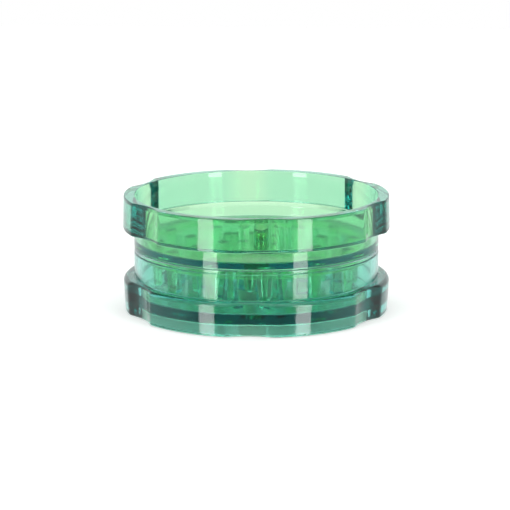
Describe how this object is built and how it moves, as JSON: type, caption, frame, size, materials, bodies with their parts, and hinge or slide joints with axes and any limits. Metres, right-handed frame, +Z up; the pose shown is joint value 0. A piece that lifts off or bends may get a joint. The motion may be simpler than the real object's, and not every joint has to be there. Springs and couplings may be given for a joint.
{
  "type": "twist grinder",
  "caption": "Round hand twist grinder in clear green moulding: a lid with an open tray turns on a base, with fluted grip bands, diamond teeth and centre magnets.",
  "frame": {"origin": "on the turning axis, at the surface that the foot ring stands on", "axes": "+Z up along the turning axis; +X runs through a lobe of the base's grip band"},
  "size_m": [0.063, 0.0628, 0.0274],
  "materials": {
    "base_moulding": "clear polished green, transparent",
    "lid_moulding": "clear polished green, transparent",
    "glide_ring": "clear smooth plastic ring, tinted by what surrounds it",
    "magnet": "satin nickel plate"
  },
  "bodies": {
    "base": {"base_body": "base_moulding", "base_magnet": "magnet", "base_magnet_cap": "base_moulding", "base_tooth_inner_01": "base_moulding", "base_tooth_inner_02": "base_moulding", "base_tooth_inner_03": "base_moulding", "base_tooth_inner_04": "base_moulding", "base_tooth_inner_05": "base_moulding", "base_tooth_inner_06": "base_moulding", "base_tooth_inner_07": "base_moulding", "base_tooth_outer_01": "base_moulding", "base_tooth_outer_02": "base_moulding", "base_tooth_outer_03": "base_moulding", "base_tooth_outer_04": "base_moulding", "base_tooth_outer_05": "base_moulding", "base_tooth_outer_06": "base_moulding", "base_tooth_outer_07": "base_moulding", "base_tooth_outer_08": "base_moulding", "base_tooth_outer_09": "base_moulding", "base_tooth_outer_10": "base_moulding", "base_tooth_outer_11": "base_moulding", "base_tooth_outer_12": "base_moulding"},
    "glide_ring": {"glide_ring": "glide_ring"},
    "lid": {"lid_body": "lid_moulding", "lid_magnet": "magnet", "lid_magnet_cap": "lid_moulding", "lid_tooth_inner_01": "lid_moulding", "lid_tooth_inner_02": "lid_moulding", "lid_tooth_inner_03": "lid_moulding", "lid_tooth_inner_04": "lid_moulding", "lid_tooth_inner_05": "lid_moulding", "lid_tooth_inner_06": "lid_moulding", "lid_tooth_middle_01": "lid_moulding", "lid_tooth_middle_02": "lid_moulding", "lid_tooth_middle_03": "lid_moulding", "lid_tooth_middle_04": "lid_moulding", "lid_tooth_middle_05": "lid_moulding", "lid_tooth_middle_06": "lid_moulding", "lid_tooth_middle_07": "lid_moulding", "lid_tooth_middle_08": "lid_moulding", "lid_tooth_middle_09": "lid_moulding", "lid_tooth_outer_01": "lid_moulding", "lid_tooth_outer_02": "lid_moulding", "lid_tooth_outer_03": "lid_moulding", "lid_tooth_outer_04": "lid_moulding", "lid_tooth_outer_05": "lid_moulding", "lid_tooth_outer_06": "lid_moulding", "lid_tooth_outer_07": "lid_moulding", "lid_tooth_outer_08": "lid_moulding", "lid_tooth_outer_09": "lid_moulding", "lid_tooth_outer_10": "lid_moulding", "lid_tooth_outer_11": "lid_moulding", "lid_tooth_outer_12": "lid_moulding"}
  },
  "joints": [
    {"name": "lid_turn", "type": "hinge", "parent": "base", "child": "glide_ring", "pos_m": [0, 0, 0.0142], "axis": [0, 0, 1], "continuous": true},
    {"name": "lid_lift", "type": "slide", "parent": "glide_ring", "child": "lid", "axis": [0, 0, 1], "range_m": [0, 0.03]}
  ]
}
